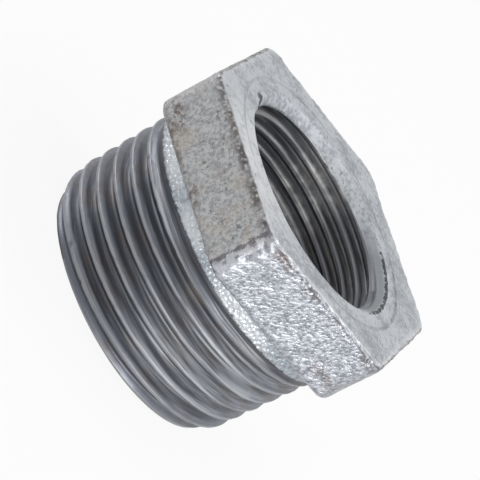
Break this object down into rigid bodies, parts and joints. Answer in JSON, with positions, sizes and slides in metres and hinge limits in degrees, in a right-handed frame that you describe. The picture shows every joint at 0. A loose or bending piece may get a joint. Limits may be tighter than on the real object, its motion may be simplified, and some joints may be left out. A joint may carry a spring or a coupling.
{
  "type": "hex bushing",
  "caption": "Hexagon reducing bush of galvanised malleable iron, with a taper pipe thread outside and a parallel pipe thread through its bore.",
  "frame": {"origin": "centre of the spigot's end face, on the axis of both threads", "axes": "+Z along the threads' axis, out of the tapped mouth in the hexagon; +X towards a corner of the hexagon and +Y out of one of its flats"},
  "size_m": [0.041, 0.0362, 0.025],
  "materials": {
    "galvanised_iron": "hot-dip galvanised casting, threads cut bright after dipping"
  },
  "bodies": {
    "root": {"bushing": "galvanised_iron"}
  },
  "joints": []
}
